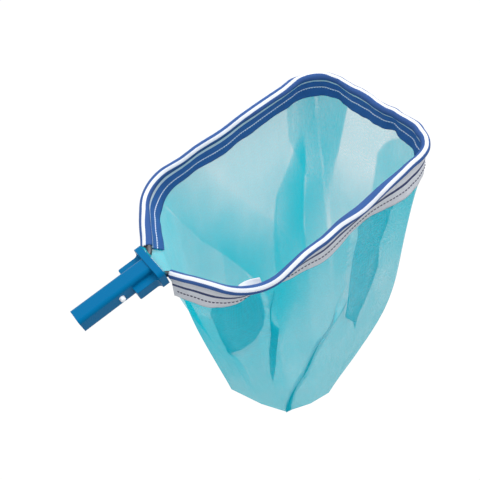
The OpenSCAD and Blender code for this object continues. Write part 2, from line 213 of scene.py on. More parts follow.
# %% A point on the band
FLARE = [(0, -0.2), (0.08, -0.1), (0.16, 0.25), (0.24, 0.2), (0.34, 0.3), (0.42, 0.2), (0.48, 0.05),
         (0.54, 0.25), (0.6, -0.1), (0.66, 0.15), (0.72, -0.25), (0.78, -0.05), (0.83, -0.3), (0.88, -0.75),
         (0.94, 0.15), (1, 0.1)]
TRAIL = [(0, 0.6), (0.08, 0.15), (0.16, -0.3), (0.34, -0.3), (0.54, -0.2), (0.66, 0.05), (0.83, 0.25),
         (0.94, 0.4), (0.98, 0.35), (1, 0.15)]
BAND_WIDTH = 42.0  # from the tube's middle down to the band's lower edge
LOOP = 4.7         # radius of the cloth round the tube
LEAF = 1.35        # either leaf lies this far from the middle
NECK = 9.5         # the leaves meet below the tube at this drop


def on_band(share, out, drop):
    """Points out from the middle of the band and down it, at shares of the way round."""
    share, out, drop = np.broadcast_arrays(np.asarray(share, float), out, drop)
    at = BAND_START + share * band_length
    x, y, h = (np.interp(at, way, line[:, k]) for k in range(3))
    flare, trail = table(FLARE, share), table(TRAIL, share)
    side = np.stack([-np.sin(h), np.cos(h), 0 * h], -1)
    on = np.stack([np.cos(h), np.sin(h), 0 * h], -1)
    slope = np.sqrt(1 + flare**2)[..., None]
    out_axis = (side + flare[..., None] * [0, 0, 1]) / slope
    drop_axis = (flare[..., None] * side - [0, 0, 1]) / slope
    trailed = (np.maximum(0, drop - LOOP) * trail)[..., None] * on
    middle = np.stack([x, y, 0 * x + HOOP_Z], -1)
    return middle + out[..., None] * out_axis + drop[..., None] * drop_axis + trailed


for end in (0.0, 1.0):
    print("the band's lower edge, at", end, "of the way round:", on_band(end, 0, BAND_WIDTH).round(1))

# %% [markdown]
# ## The webbing band
# The real band is one strip of woven webbing, folded over the tube and sewn
# shut below it. It could be two flat ribbons and a tube, but they would part at
# the fold. So the mesh is one strip as well: up the inner leaf, round the tube
# and down the outer leaf.


# %% Cross-section of the folded webbing
NECK_ANGLES = (218, -38)  # where the cloth leaves the tube, in degrees round it


def folded_section():
    """Points across the webbing, from its inner lower edge: out from the middle, and drop."""
    leaf = [(-LEAF, drop) for drop in np.linspace(BAND_WIDTH, NECK, 12)]
    loop = [(LOOP * np.cos(a), -LOOP * np.sin(a)) for a in np.radians(np.linspace(*NECK_ANGLES, 17))]
    return np.array(leaf + loop + [(-out, drop) for out, drop in leaf[::-1]])


section = folded_section()
webbing_width = way_along(section)[-1]
print("the webbing is", round(webbing_width, 1), "mm wide before it is folded")

# %% [markdown]
# ## Puckers
# A seam draws webbing together, so its leaves wave. Even sines look like a
# curtain. An arcsine of a sine has straight flanks and sharp turns, and a slow
# sine inside it makes the turns come early or late, as they do in stiff cloth.
# The front of the hoop, where the net is pushed against the wall of the pool,
# is creased most.


# %% Waves that the seam pulls into the band
FRONT_AT, FRONT_REACH = 0.52, 0.10  # the creased front of the hoop, in shares of the way round


def wave(r, length, shift=0.0):
    """A sine along the band. Its period is 2 pi times its length."""
    return np.sin(r / length + shift)


def crease(r, length, wander):
    """A zigzag along the band, whose turns wander."""
    return np.arcsin(0.97 * np.sin(r / length + 1.5 * wander))


def sewing_waves(share, drop):
    """How far the sewn webbing wanders out and down."""
    r = share * band_length
    leaf = np.clip((drop - LOOP) / (BAND_WIDTH - LOOP), 0, 1)
    front = np.exp(-(((share - FRONT_AT) / FRONT_REACH) ** 2))
    ripple = wave(r, 9.5) + 0.7 * wave(r, 5.7, 1.3) + 0.8 * wave(r, 23, 0.4)
    zigzag = crease(r, 6.5, wave(r, 21)) + 0.5 * wave(r, 3.1, 2)
    sideways = 0.45 * ripple * leaf + front * (1.3 * zigzag * leaf + 0.4 * zigzag)
    sideways += 0.5 * crease(r, 13, wave(r, 31, 1))
    downwards = 0.8 * np.sin(r / 15 + 2 * wave(r, 37)) + 0.8 * front * zigzag * leaf
    return sideways, downwards


front_waves = sewing_waves(np.linspace(0.4, 0.6, 500), BAND_WIDTH)
print("the front's lower edge wanders out and down by", *(round(np.ptp(w), 1) for w in front_waves), "mm")

# %% [markdown]
# ## The strip on its way round
# The section is repeated at every step of the way. Over the tube the cloth
# stands off in places (CREST), and it was rolled round the tube by a few
# millimetres before it was sewn (ROLL), so its stripes climb and sink. The
# second number of the UV map says where across the webbing a point is.

# %% Band section all the way round
CREST = [(0, 5), (0.03, 5), (0.05, 4.2), (0.07, 2.2), (0.12, 1.9), (0.14, 0.6), (0.19, 0.3), (0.225, 2.3),
         (0.25, 1.6), (0.27, 3), (0.30, 4.8), (0.34, 4.4), (0.358, 5.2), (0.374, 0.4), (0.395, 1.4),
         (0.425, 0), (0.455, 1.6), (0.47, 2.4), (0.5, 1.0), (0.53, 2.4), (0.55, 0.6), (0.575, 2.4), (0.6, 1),
         (0.64, 0), (0.66, 0.7), (0.69, 1.5), (0.73, 2.5), (0.76, 2), (0.79, 0.8), (0.81, 0), (1, 0)]
ROLL = [(0, 6), (0.034, 5.5), (0.062, 3), (0.12, 0.5), (0.2, -0.2), (0.256, 0.3), (0.29, 2.5), (0.33, 3),
        (0.365, 5), (0.4, 6.5), (0.423, 3.5), (0.445, 5), (0.5, 6), (0.6, 4.5), (0.637, 5), (0.66, 6.5),
        (0.711, 8.2), (0.747, 8.5), (0.778, 6), (0.809, 4.5), (0.839, 4), (0.88, 4), (0.92, 4.3),
        (0.96, 4.3), (1, 5)]
BAND_STEPS = 480
ENDS = (1.6, 5.0)  # the strip starts this far after share 0, and ends this far after share 1
share = np.linspace(ENDS[0] / band_length, 1 + ENDS[1] / band_length, BAND_STEPS)[None, :]
out, drop = section[:, :1] + 0 * share, section[:, 1:] + 0 * share
over_tube = np.clip(0.5 + 0.5 * out / LOOP, 0, 1) * (drop < NECK - 1)
out = out + table(CREST, share, blur=0.012) * over_tube
across = np.cumsum(np.hypot(np.diff(out, axis=0), np.diff(drop, axis=0)), axis=0)
woven = np.concatenate([0 * share, across]) - table(ROLL, share, blur=0.02)
print("the webbing is rolled round the tube by up to", round(-woven[0].min(), 1), "mm")

# %% [markdown]
# ## Thickness
# Solidify gives the strip the thickness of webbing and closes its edges. It
# grows to both sides, so the leaves stay where the section put them.

# %% Band mesh
WEBBING_THICKNESS = 1.1
sideways, downwards = sewing_waves(share, drop)
band_points = on_band(share, out + sideways, drop + downwards)
band = grid_object("webbing_band", band_points, np.stack([share * band_length + 0 * drop, woven], -1))
solid = band.modifiers.new("thickness", "SOLIDIFY")
solid.thickness = WEBBING_THICKNESS * MM
solid.offset = 0

# %% [markdown]
# ## Material helpers
# A small function per kind of node keeps the materials short. Colours that are
# the same all over a piece go straight onto the shader's own socket.


# %% Material helpers
def new_material(name, colour=(0.8, 0.8, 0.8), roughness=0.5, **values):
    """A material with its node tree and its Principled shader."""
    material = bpy.data.materials.new(name)
    material.use_nodes = True
    shader = material.node_tree.nodes["Principled BSDF"]
    shader.inputs["Base Color"].default_value = (*colour, 1)
    shader.inputs["Roughness"].default_value = roughness
    for key, value in values.items():
        shader.inputs[key.replace("_", " ")].default_value = value
    return material, material.node_tree, shader


def feed(tree, value, socket):
    """Links an output to a socket, or sets the socket to a number."""
    if isinstance(value, bpy.types.NodeSocket):
        tree.links.new(value, socket)
    else:
        socket.default_value = value


def node(tree, kind, **settings):
    """A shader node. A setting is one of its properties, or else the value of an input."""
    made = tree.nodes.new("ShaderNode" + kind)
    for key, value in settings.items():
        if hasattr(made, key):
            setattr(made, key, value)
        else:
            made.inputs[key.replace("_", " ")].default_value = value
    return made


def maths(tree, operation, a, b=0.0, c=0.0):
    """The output of a Math node whose inputs are numbers or other outputs."""
    made = node(tree, "Math", operation=operation)
    for socket, value in zip(made.inputs, (a, b, c)):
        feed(tree, value, socket)
    return made.outputs[0]


example = new_material("example")[0]
print("a new material starts with", [n.name for n in example.node_tree.nodes])
bpy.data.materials.remove(example)


# %% Patterns on cloth
def cloth_uv(tree):
    """The cloth's own map, and its two distances: along the piece, and across or down it."""
    uv = node(tree, "UVMap", uv_map="cloth").outputs[0]
    split = node(tree, "SeparateXYZ")
    tree.links.new(uv, split.inputs[0])
    return uv, split.outputs["X"], split.outputs["Y"]


def noise(tree, where, scale, detail):
    """Soft noise from 0 to 1 at a place."""
    made = node(tree, "TexNoise", Scale=scale, Detail=detail)
    tree.links.new(where, made.inputs["Vector"])
    return made.outputs["Fac"]


def threads(tree, distance, pitch):
    """A sine over the cloth, one period for every thread."""
    return maths(tree, "SINE", maths(tree, "MULTIPLY", distance, 2 * np.pi / pitch))


def bumped(tree, shader, height, strength, distance, normal=None):
    """Lets a height tilt the light on a surface, without moving the mesh."""
    bump = node(tree, "Bump", Strength=strength, Distance=distance)
    tree.links.new(height, bump.inputs["Height"])
    if normal:
        tree.links.new(normal, bump.inputs["Normal"])
    tree.links.new(bump.outputs[0], shader.inputs["Normal"])


# %% [markdown]
# ## Webbing: the stripes
# The stripes are dyed into the warp, so they run along the strip and their
# places are distances across it. They could be painted on an image, but a
# colour ramp with hard steps stays sharp from near. A little noise moves its
# steps, so the edges of the stripes are as uneven as yarn. The blue of the
# inner leaf is the same dye as the other blue, made lighter as painted light.


# %% Stripes
WHITE = (0.87, 0.89, 0.95)
BLUE = (0.03, 0.105, 0.34)
# a lighter copy of the blue dye: painted light on the inner leaf, which lies in the light
LEAF_BLUE_PAINTED_LIGHT = (0.033, 0.15, 0.47)
NAVY = (0.035, 0.055, 0.17)
STRIPES = [(0, LEAF_BLUE_PAINTED_LIGHT), (14.2, WHITE), (15.8, LEAF_BLUE_PAINTED_LIGHT), (28.5, WHITE), (35, BLUE), (44.4, WHITE),
           (48.6, BLUE), (53, WHITE), (68.5, NAVY), (73, WHITE)]
UNEVEN = 0.0008  # metres between the ins and outs of a stripe's edge


def stripes(tree, uv, across):
    """The colour at a distance across the webbing: dyed stripes, with painted light in the inner leaf's lighter
    blue.
    """
    fuzz = noise(tree, uv, 900.0, 1.0)
    moved = maths(tree, "MULTIPLY_ADD", fuzz, UNEVEN, maths(tree, "ADD", across, -UNEVEN / 2))
    ramp = node(tree, "ValToRGB")
    ramp.color_ramp.interpolation = "CONSTANT"
    tree.links.new(maths(tree, "MULTIPLY", moved, 1 / (webbing_width * MM)), ramp.inputs[0])
    stops = ramp.color_ramp.elements
    stops.remove(stops[1])
    stops[0].color = (*STRIPES[0][1], 1)
    for place, colour in STRIPES[1:]:
        stops.new(place / webbing_width).color = (*colour, 1)
    return ramp.outputs["Color"]


print(len(STRIPES), "stripes, the last one", round(webbing_width - STRIPES[-1][0], 1), "mm wide")

# %% [markdown]
# ## Webbing: the weave
# Polyester webbing is matt. Its ribs lie across the strip and its warp runs
# along it, both about a millimetre wide. They are bump only, since they are too
# fine to be worth a mesh. A cloudy tint keeps the dye from looking printed.


# %% Webbing material
RIB, WARP = 0.0011, 0.0008  # metres from one thread to the next
CLOUDY = 0.2                # share of the colour that the cloudy tint takes


def webbing_material():
    """Striped, cloudy and ribbed."""
    material, tree, shader = new_material("striped_webbing", roughness=0.85)
    uv, along, across = cloth_uv(tree)
    tint = node(tree, "Mix", data_type="RGBA", blend_type="MULTIPLY", Factor=CLOUDY)
    tree.links.new(stripes(tree, uv, across), tint.inputs["A"])
    tree.links.new(noise(tree, uv, 60.0, 3.0), tint.inputs["B"])
    tree.links.new(tint.outputs["Result"], shader.inputs["Base Color"])
    weave = maths(tree, "ADD", threads(tree, along, RIB), threads(tree, across, WARP))
    bumped(tree, shader, weave, 0.5, 0.0003)
    return material


band.data.materials.append(webbing_material())
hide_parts("rim_band")
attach(band, "net_head")
print("the webbing has", round(band_length * MM / RIB), "ribs on its way round")

# %% [markdown]
# ## The bag's edge
# The edge of the bag is sewn between the two leaves of the band, so it follows
# their waves. Between the ends of the band it crosses the front of the yoke.
# One number, the share of the way round, names a place on this whole edge.

# %% The cloth's edge
edge_ends = on_band(np.array([1.0, 0.0]), 0, BAND_WIDTH)
throat = np.linalg.norm(edge_ends[0] - edge_ends[1])
round_length = band_length + throat
on_hoop = band_length / round_length


def between_leaves(share, drop, waved):
    """The cloth between the leaves of the band, following a part of their waves."""
    sideways, downwards = sewing_waves(share, drop)
    return on_band(share, waved * sideways, drop + waved * downwards)


def edge(at, drop=BAND_WIDTH, waved=1.0):
    """The cloth's edge: along the band, then across the front of the yoke."""
    at = np.mod(at, 1)
    first, last = (between_leaves(np.array([end]), drop, 1.0)[0] for end in (0.0, 1.0))
    t = np.clip((at - on_hoop) / (1 - on_hoop), 0, 1)[..., None]
    along = between_leaves(np.minimum(at / on_hoop, 1), drop, waved)
    return np.where((at <= on_hoop)[..., None], along, last + (first - last) * t)


print("the edge is", round(round_length), "mm long,", round(throat), "mm of it across the yoke")

# %% [markdown]
# ## The bag's walls
# The bag is sewn from flat mesh: wide at the band, closed below by a short
# seam. Each point of its edge comes straight down to a point of that seam, and
# the weight of wet leaves has bulged the walls. A cloth simulation would also
# hang it, but its folds would fall anew with every change. A share of the way
# round and a depth from 0 to 1 name every place on it.

# %% Bag walls without folds
SEAM = np.array([(43, -9, -372), (66, -54, -391), (88, -88, -397), (126, -105, -396), (158, -113, -391),
                 (190, -109, -376)], float)
SEAM_AT = 0.03  # the share of the way round that comes down to the seam's first point
BULGE = [(0, 2), (0.1, 12), (0.25, 22), (0.42, 22), (0.55, 24), (0.68, 20), (0.8, 10), (0.9, -6), (1, 2)]
MOUTH_MIDDLE = np.array([211.0, 0, 0])
FOOT_MIDDLE = np.array([126.0, -88, 0])
SWAG, SWAGS = 4.0, 7  # how far the walls hang in and out, and how often on the way round
WAVES_FADE = 14       # how fast the band's waves leave the cloth below it


def foot(at):
    """The closing seam under a place of the edge."""
    length = way_along(SEAM)
    along = (0.5 - 0.5 * np.cos(2 * np.pi * (at - SEAM_AT))) * length[-1]
    return np.stack([np.interp(along, length, SEAM[:, k]) for k in range(3)], -1)


def wall(at, depth):
    """A place on the bag, and the level direction out of it."""
    d = depth[..., None]
    place = edge(at, waved=np.exp(-WAVES_FADE * depth)) * (1 - d) + foot(at) * d
    outwards = place - MOUTH_MIDDLE * (1 - d) - FOOT_MIDDLE * d
    outwards[..., 2] = 0
    outwards /= np.linalg.norm(outwards, axis=-1, keepdims=True) + 1e-9
    bulge = table(BULGE, np.mod(at, 1)) * np.sin(np.pi * depth**1.45)
    hang = SWAG * np.sin(2 * np.pi * (SWAGS * at + depth / 3)) * np.sin(np.pi * depth)
    return place + (bulge + hang)[..., None] * outwards, outwards


print("the closing seam is", round(way_along(SEAM)[-1]), "mm long")

# %% [markdown]
# ## Folds
# Where there is more cloth than wall, it folds into an S: forward, back and
# forward again, three layers deep. A cubic does exactly that. Its middle runs
# backwards once it is steep enough, so one number opens or closes the fold.
# Each fold below is a list of stations: depth, place round the edge, and the
# width of the overlap, both as shares of the way round.

# %% Where the folds lie
FOLDS = {
    "right wall": [(0, 0.652, 0.05), (0.08, 0.653, 0.055), (0.17, 0.659, 0.053), (0.28, 0.66, 0.06),
                   (0.38, 0.668, 0.063), (0.46, 0.664, 0.035), (0.53, 0.667, 0)],
    "seam of the bag": [(0.28, 0.700, 0), (0.33, 0.707, 0.007), (0.42, 0.737, 0.010), (0.51, 0.747, 0.009),
                        (0.62, 0.755, 0.008), (0.74, 0.767, 0.007), (0.95, 0.783, 0.006), (1, 0.785, 0.004)],
    "near shoulder": [(0.04, 0.795, 0), (0.12, 0.797, 0.010), (0.28, 0.798, 0.012), (0.4, 0.804, 0.012),
                      (0.53, 0.807, 0.008), (0.68, 0.81, 0)],
    "near arm": [(0, 0.848, 0.06), (0.04, 0.848, 0.065), (0.18, 0.846, 0.068), (0.27, 0.85, 0.06),
                 (0.33, 0.86, 0.04), (0.37, 0.873, 0.015), (0.42, 0.885, 0)],
}
for name, stations in FOLDS.items():
    print("fold", name, "overlaps by up to", round(max(row[2] for row in stations) * round_length), "mm")

# %% The cubic of a fold
# how steep the cubic is, where it turns back, and how far it then overlaps itself
STEEP = np.linspace(1, 8, 200)
TOP = np.sqrt((1 - 1 / STEEP) / 3)
OVERLAP = 2 * TOP * (STEEP * (1 - TOP**2) - 1)
RUN_OUT = 0.08     # a fold closes over this depth above and below its stations
SOFT_EDGE = 0.003  # a layer ends over this share of the way round
LIFT = 4.0         # the first and the last layer of a fold stand out and in by this much


def around_fold(at, rows, depth):
    """How far round from the middle of a fold a place is, the short way."""
    return np.mod(at - table(rows, depth) + 0.5, 1) - 0.5


def folded(at, depth):
    """Moves cloth to and fro through each fold. Also says how far it stands out, and where it is doubled."""
    moved, stands, doubled = at.copy(), np.zeros_like(at), np.zeros_like(at)
    for stations in FOLDS.values():
        reach = 0.75 * max(row[2] for row in stations)
        rows = [(d, c, np.interp(w / reach, OVERLAP, STEEP)) for d, c, w in stations]
        rows = [(rows[0][0] - RUN_OUT, rows[0][1], 0)] + rows + [(rows[-1][0] + RUN_OUT, rows[-1][1], 0)]
        steep = table(rows, depth, 2)
        t = np.clip(around_fold(at, rows, depth) / reach, -1, 1)
        moved -= steep * reach * t * (1 - t**2)
        stands -= LIFT * np.clip(steep - 1, 0, 1) * np.sin(np.pi * t)
    for stations in FOLDS.values():
        widths = [(d, w) for d, c, w in stations]
        widths = [(widths[0][0] - RUN_OUT, 0)] + widths + [(widths[-1][0] + RUN_OUT, 0)]
        off = np.abs(around_fold(moved, stations, depth))
        doubled += np.clip(0.5 + (table(widths, depth) / 2 - off) / SOFT_EDGE, 0, 1)
    return moved, stands, np.clip(doubled, 0, 1)


print("the steepest fold overlaps by", round(OVERLAP[-1], 1), "times its reach")

# %% [markdown]
# ## The bag below the band
# The grid has 620 columns, enough for the narrow folds, and its rows are closer
# together near the band, where the folds start. Small ripples lie over the
# folds and fade out at the edge and at the foot, where the cloth is sewn.

# %% Folded walls
BAG_COLUMNS, BAG_ROWS = 620, 140
at = np.linspace(0, 1, BAG_COLUMNS, endpoint=False)[None, :] + np.zeros((BAG_ROWS, 1))
depth = np.linspace(0, 1, BAG_ROWS)[:, None] ** 1.15 + np.zeros((1, BAG_COLUMNS))
moved, stands, doubled = folded(at, depth)
free = np.sin(np.pi * np.clip(depth, 0, 1)) ** 0.7
turns = 2 * np.pi * at
ripple = (1.2 * np.sin(11 * turns - 4 * depth + 1) + 0.8 * np.sin(23 * turns + 9 * depth)
          + 0.5 * np.sin(61 * turns) * np.exp(-9 * depth))
place, outwards = wall(moved, depth)
points = place + (stands * np.clip(25 * depth, 0, 1) + ripple * free)[..., None] * outwards
print("the bag is", round(-points[..., 2].min()), "mm deep")

# %% [markdown]
# ## The bag's tucked edge
# Above its edge the cloth goes on between the leaves, nearly up to the neck of
# the band. At the throat there is no band: the cloth is drawn up over the front
# of the yoke there, round its rounded top corners. The yoke's box says where.
# The cloth clears its front face by a hair and ends just under its top.

# %% Tucked edge
TUCKED_ROWS = 8
YOKE_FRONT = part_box("yoke")[1][0] / MM + 0.15
YOKE_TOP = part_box("yoke")[1][2] / MM - 0.1
YOKE_CORNER = 5.0
CORNER_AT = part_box("yoke")[1][1] / MM - YOKE_CORNER
tucked = np.array([edge(at[0], drop) for drop in np.linspace(NECK + 4, BAND_WIDTH, TUCKED_ROWS + 1)[:-1]])
across_yoke = np.clip((at[0] - on_hoop) / (1 - on_hoop), 0, 1)
rise = np.clip(8 * np.minimum(across_yoke, 1 - across_yoke), 0, 1)[None, :]
rise = rise * np.linspace(1, 0, TUCKED_ROWS)[:, None] ** 1.3
beyond_corner = np.clip(np.abs(tucked[0, :, 1]) - CORNER_AT, 0, YOKE_CORNER)
top = YOKE_TOP - YOKE_CORNER + np.sqrt(YOKE_CORNER**2 - beyond_corner**2)
tucked[..., 2] += rise * (top - tucked[0, :, 2])
tucked[..., 0] += rise * (YOKE_FRONT - tucked[..., 0])
print("the yoke ends at", round(YOKE_FRONT, 1), "mm and its cloth rises to", round(tucked[0, :, 2].max(), 1))

# %% Bag mesh
points = np.concatenate([tucked, points])
down = np.concatenate([[0], np.cumsum(np.linalg.norm(np.diff(points, axis=0), axis=-1).mean(axis=1))])
around = np.linspace(0, round_length, BAG_COLUMNS + 1)
bag_uv = np.stack(np.broadcast_arrays(around[None, :], down[:, None]), -1)
bag = grid_object("mesh_bag", points, bag_uv, closed=True)
print("cloth from edge to foot", round(down[-1]), "mm")

# %% [markdown]
# ## Where the cloth lies double, with painted shade
# Beside a fold the cloth is pleated: finer pleats than a mesh should hold lie
# over each other and thin out with distance. Each patch below is a list of
# rows: depth, its two edges as shares of the way round, and how many layers
# more it has at either edge. Less than none means that the cloth is stretched.
# These layers are partly real pleats and partly painted shade along the folds,
# and the stretched patches are partly painted light. The material reads the
# sum as an attribute of the mesh.

# %% Gathered cloth and painted shade
GATHERED_AND_SHADE = {
    "beside the yoke": [(0, -0.066, 0.105, 1.2, 1.2), (0.04, -0.06, 0.11, 1.2, 1.2),
                        (0.12, -0.03, 0.127, 1.2, 1.2), (0.27, -0.03, 0.168, 1.1, 1.2),
                        (0.36, -0.03, 0.203, 1.0, 1.2), (0.45, -0.03, 0.235, 0.9, 1.1),
                        (0.6, -0.03, 0.27, 0.6, 0.7), (0.75, -0.03, 0.29, 0.4, 0.4),
                        (1, -0.03, 0.3, 0.1, 0.1)],
    "above the slanting fold": [(0, 0.105, 0.19, 1.4, 0.1), (0.12, 0.127, 0.22, 1.5, 0.1),
                                (0.27, 0.168, 0.27, 1.9, 0.2), (0.36, 0.203, 0.30, 2.4, 0.3),
                                (0.45, 0.235, 0.32, 2.4, 0.4), (0.55, 0.27, 0.34, 1.6, 0.3),
                                (0.7, 0.29, 0.34, 0.6, 0.1), (0.85, 0.30, 0.34, 0, 0)],
    "left wall": [(0, 0.17, 0.345, 0.1, 0.3), (0.15, 0.17, 0.335, 0.1, 0.3), (0.25, 0.18, 0.31, 0.2, 0.5),
                  (0.35, 0.2, 0.30, 0.3, 0.6), (0.5, 0.2, 0.30, 0.4, 0.6), (0.7, 0.2, 0.34, 0.1, 0.1)],
    "left corner": [(0, 0.335, 0.372, 0.6, 1.8), (0.1, 0.335, 0.374, 0.8, 1.8),
                    (0.17, 0.345, 0.376, 0.9, 1.6), (0.25, 0.356, 0.378, 1.5, 1.5),
                    (0.33, 0.350, 0.378, 2.3, 1.4), (0.45, 0.345, 0.38, 1.9, 0.8),
                    (0.6, 0.345, 0.38, 0.3, 0.2), (0.7, 0.345, 0.38, 0, 0)],
    "against the corner fold": [(0.1, 0.352, 0.356, 0, 0), (0.16, 0.336, 0.357, 0.8, 2.6),
                                (0.21, 0.32, 0.356, 1.1, 3.4), (0.27, 0.303, 0.352, 1.3, 3.9),
                                (0.33, 0.297, 0.349, 1.2, 4.0), (0.4, 0.293, 0.345, 1.1, 3.7),
                                (0.5, 0.292, 0.345, 1.1, 2.6), (0.6, 0.295, 0.345, 0.3, 0.8),
                                (0.7, 0.3, 0.345, 0, 0)],
    "front tongue": [(0, 0.374, 0.420, 1.3, 1.5), (0.08, 0.374, 0.412, 1.3, 1.5),
                     (0.16, 0.377, 0.402, 1.9, 1.5), (0.22, 0.379, 0.394, 1.9, 1.1),
                     (0.3, 0.379, 0.388, 1.1, 0.4), (0.4, 0.379, 0.386, 0.2, 0.2),
                     (0.45, 0.379, 0.386, 0, 0)],
    "front": [(0, 0.42, 0.50, -0.15, -0.15), (0.16, 0.402, 0.475, -0.1, -0.15),
              (0.25, 0.39, 0.472, 0.3, 0.1), (0.35, 0.386, 0.474, 0.6, 0.4), (0.5, 0.386, 0.48, 0.6, 0.5),
              (0.7, 0.386, 0.48, 0, 0)],
    "right corner": [(0, 0.515, 0.57, 0.9, 0.8), (0.05, 0.490, 0.57, 0.9, 0.9), (0.1, 0.478, 0.57, 1.0, 1.1),
                     (0.17, 0.476, 0.57, 1.1, 1.2), (0.25, 0.472, 0.57, 1.0, 0.8),
                     (0.4, 0.474, 0.57, 0.7, 0.3), (0.55, 0.48, 0.57, 0, 0)],
    "right side": [(0, 0.57, 0.63, 0, 0), (0.12, 0.57, 0.63, -0.2, -0.3), (0.35, 0.57, 0.63, -0.2, -0.3),
                   (0.6, 0.57, 0.63, 0, 0)],
    "right wall": [(0, 0.63, 0.685, -0.6, -0.8), (0.4, 0.64, 0.69, -0.6, -0.8), (0.53, 0.66, 0.67, 0, 0)],
    "seam of the bag": [(0.28, 0.698, 0.702, 0, 0), (0.33, 0.704, 0.710, 1.2, 1.2),
                        (0.42, 0.733, 0.741, 1.6, 1.6), (0.51, 0.743, 0.751, 1.8, 1.8),
                        (0.62, 0.751, 0.760, 1.8, 1.8), (0.74, 0.762, 0.772, 1.8, 1.8),
                        (0.95, 0.776, 0.790, 1.8, 1.8), (1, 0.778, 0.792, 1.6, 1.6)],
    "near shoulder": [(0, 0.765, 0.803, 0.1, 1.2), (0.12, 0.768, 0.803, 0.1, 2.0),
                      (0.2, 0.775, 0.804, 0.1, 1.9), (0.3, 0.785, 0.805, 0.1, 1.6),
                      (0.45, 0.795, 0.808, 0.1, 1.0), (0.6, 0.80, 0.81, 0, 0)],
    "near arm": [(0, 0.82, 0.88, -0.15, -0.15), (0.3, 0.82, 0.88, -0.15, -0.15), (0.42, 0.87, 0.89, 0, 0)],
    "under the arm": [(0, 0.885, 0.97, 0, 0), (0.05, 0.885, 0.95, -0.4, -0.3),
                      (0.10, 0.885, 0.95, -0.4, -0.3), (0.14, 0.882, 0.97, 0.5, 0.4),
                      (0.3, 0.875, 0.97, 0.8, 0.5), (0.5, 0.865, 0.97, 0.7, 0.5),
                      (0.7, 0.86, 0.97, 0.4, 0.3), (0.9, 0.86, 0.97, 0, 0)],
}
print(len(GATHERED_AND_SHADE), "patches of gathered or stretched cloth")


# %% Layers of cloth and painted shade
def layers_and_painted_shade(at, depth):
    """Layers of cloth beyond the first, summed over all the patches: partly real pleats, partly painted shade
    and light.
    """
    layers = 0 * at
    for rows in GATHERED_AND_SHADE.values():
        start, end = table(rows, depth, 1, 0.03), table(rows, depth, 2, 0.03)
        off = np.mod(at - start + 0.5, 1) - 0.5
        t = np.clip(off / (end - start), 0, 1)
        inside = np.clip(0.5 + np.minimum(off, end - start - off) / SOFT_EDGE, 0, 1)
        layers += inside * (table(rows, depth, 3) * (1 - t) + table(rows, depth, 4) * t)
    return layers


# the extra layers darken the mesh: partly real pleats, partly painted shade along the folds, and painted light
# where stretched
hanging = layers_and_painted_shade(moved, depth) * (1 - doubled / 2)
layers = np.concatenate([layers_and_painted_shade(moved[:TUCKED_ROWS], 0 * at[:TUCKED_ROWS]), hanging])
bag.data.attributes.new("gathered_and_shade", "FLOAT", "POINT").data.foreach_set("value", layers.ravel())
print("layers more, at most", round(layers.max(), 1))

# %% [markdown]
# ## Mesh cloth
# Fine mesh lets about half of what lies behind it through, and two layers of
# it look darker than one. Holes could be cut into the mesh, but there would be
# a million. A transparent shader, mixed in, does both jobs: every layer covers
# a share of what is behind it with its own colour. The open share is a number
# below 1, so to the power of the layers it shrinks as it should. The threads
# are finer than a pixel from a step away, so only close views show them.


# %% Mesh cloth material
CLOTH = (0.0, 0.64, 0.75)
THREAD = 0.0009    # metres from one thread to the next
OPEN = 0.72        # the open share before thread, cloud and grain take from it
WEAVE_TAKES, CLOUD_TAKES, GRAIN_TAKES = 0.06, 0.16, 0.3
LIT_THROUGH = 0.42  # how much of the threads' own light has come through them


def mixed(tree, share, first, second):
    """The shader between two others: the first at share 0, the second at 1."""
    mix = node(tree, "MixShader")
    for socket, value in zip(mix.inputs, (share, first, second)):
        feed(tree, value, socket)
    return mix.outputs[0]


def mesh_cloth():
    """Threads that the light shines through, and holes between them."""
    material, tree, shader = new_material("turquoise_mesh", CLOTH, 0.8, Specular_IOR_Level=0.1)
    uv, along, downwards = cloth_uv(tree)
    weave = maths(tree, "MAXIMUM", threads(tree, along, THREAD), threads(tree, downwards, THREAD))
    holes = maths(tree, "MULTIPLY_ADD", weave, -WEAVE_TAKES, OPEN)
    holes = maths(tree, "MULTIPLY_ADD", noise(tree, uv, 22.0, 4.0), -CLOUD_TAKES, holes)
    holes = maths(tree, "MULTIPLY_ADD", noise(tree, uv, 420.0, 1.0), -GRAIN_TAKES, holes)
    # the attribute's extra layers are partly real pleats and partly painted shade
    gathered_and_shade = node(tree, "Attribute", attribute_name="gathered_and_shade").outputs["Fac"]
    holes = maths(tree, "POWER", holes, maths(tree, "ADD", gathered_and_shade, 1.0))
    through = node(tree, "BsdfTranslucent", Color=(*CLOTH, 1)).outputs[0]
    cloth = mixed(tree, LIT_THROUGH, shader.outputs[0], through)
    whole = mixed(tree, holes, cloth, node(tree, "BsdfTransparent").outputs[0])
    tree.links.new(whole, tree.nodes["Material Output"].inputs[0])
    bumped(tree, shader, weave, 0.25, 0.0002)
    return material


bag.data.materials.append(mesh_cloth())
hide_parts("net_bag")
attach(bag, "net_head")
typical = OPEN - (CLOUD_TAKES + GRAIN_TAKES) / 2
print("one layer lets about", round(typical, 2), "through, and two let", round(typical**2, 2))

# %% [markdown]
# ## The label
# A plain white tag, caught in the seam inside the near arm. It is left blank.
# Its front end stands up and its back end leans down, so the strip twists. A
# plane could be bent by hand, but from the band's own axes it stays in its
# seam when the band changes.

# %% Label
LABEL = {"at": 0.9015, "length": 32.0, "width": 10.0, "lift": (130, 70)}
LABEL_STEPS, LABEL_ROWS = 16, 7


